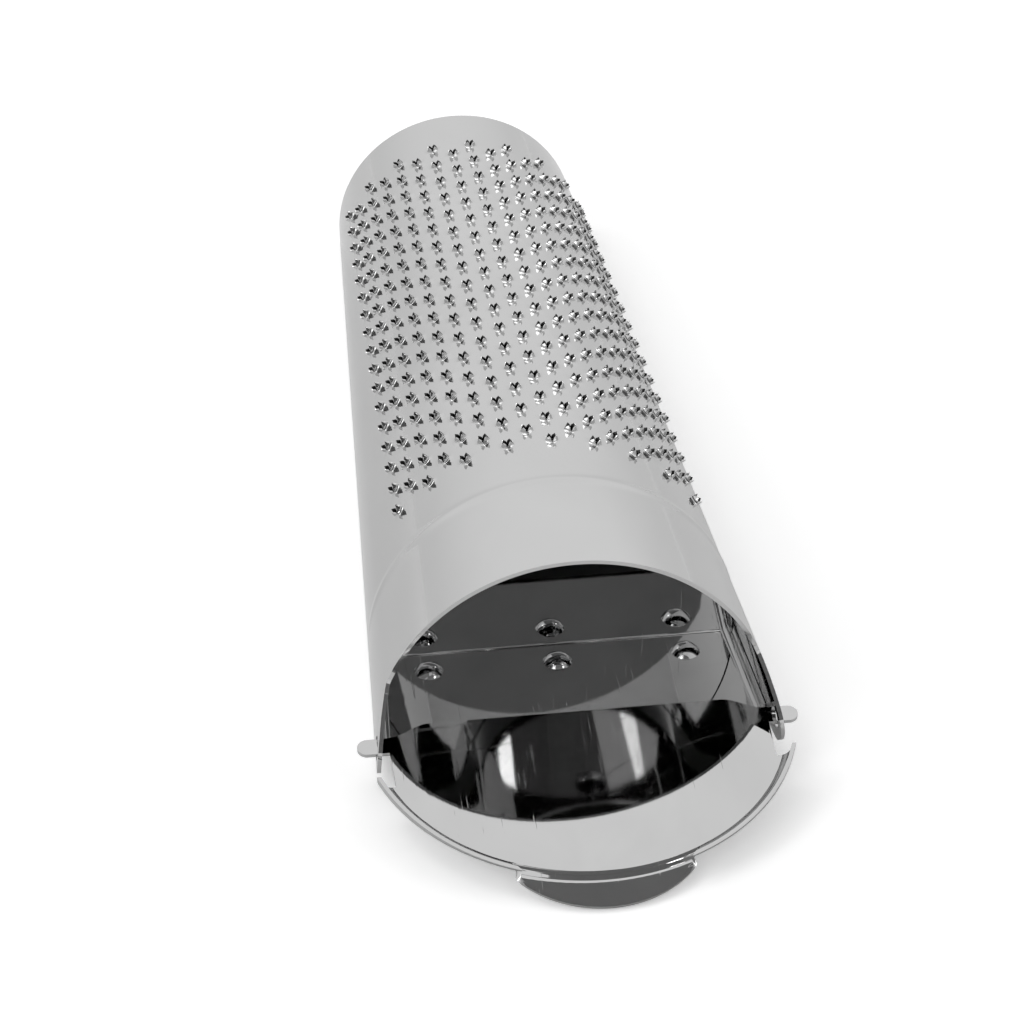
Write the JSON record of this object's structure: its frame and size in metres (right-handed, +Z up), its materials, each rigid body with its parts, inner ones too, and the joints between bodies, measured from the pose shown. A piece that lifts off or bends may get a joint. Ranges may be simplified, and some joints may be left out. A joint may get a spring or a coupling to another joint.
{
  "type": "nutmeg grater",
  "caption": "Half-round tapered steel nutmeg grater with star-punched teeth, a flat back and a nutmeg box closed by a hinged round lid with a thumb tab.",
  "frame": {"origin": "on the table, under the middle of the part's length with the lid open, on the middle line of the shell", "axes": "+Y from the lid to the open far end, +Z up through the top of the arch, +X to the right seen from the lid"},
  "size_m": [0.055, 0.1622, 0.0275],
  "materials": {
    "shell_steel": "polished stainless steel",
    "back_steel": "plain stainless steel",
    "tray_steel": "plain stainless steel",
    "rivet_steel": "polished steel",
    "lid_steel": "polished stainless steel"
  },
  "bodies": {
    "grater": {"grating_shell": "shell_steel", "back_plate": "back_steel", "compartment_tray": "tray_steel", "tray_rivets": "rivet_steel"},
    "lid": {"lid": "lid_steel"}
  },
  "joints": [
    {"name": "lid_hinge", "type": "hinge", "parent": "grater", "child": "lid", "pos_m": [0, -0.05303, 0.0046], "axis": [1, 0, 0], "range_deg": [-103.5, 115]}
  ]
}
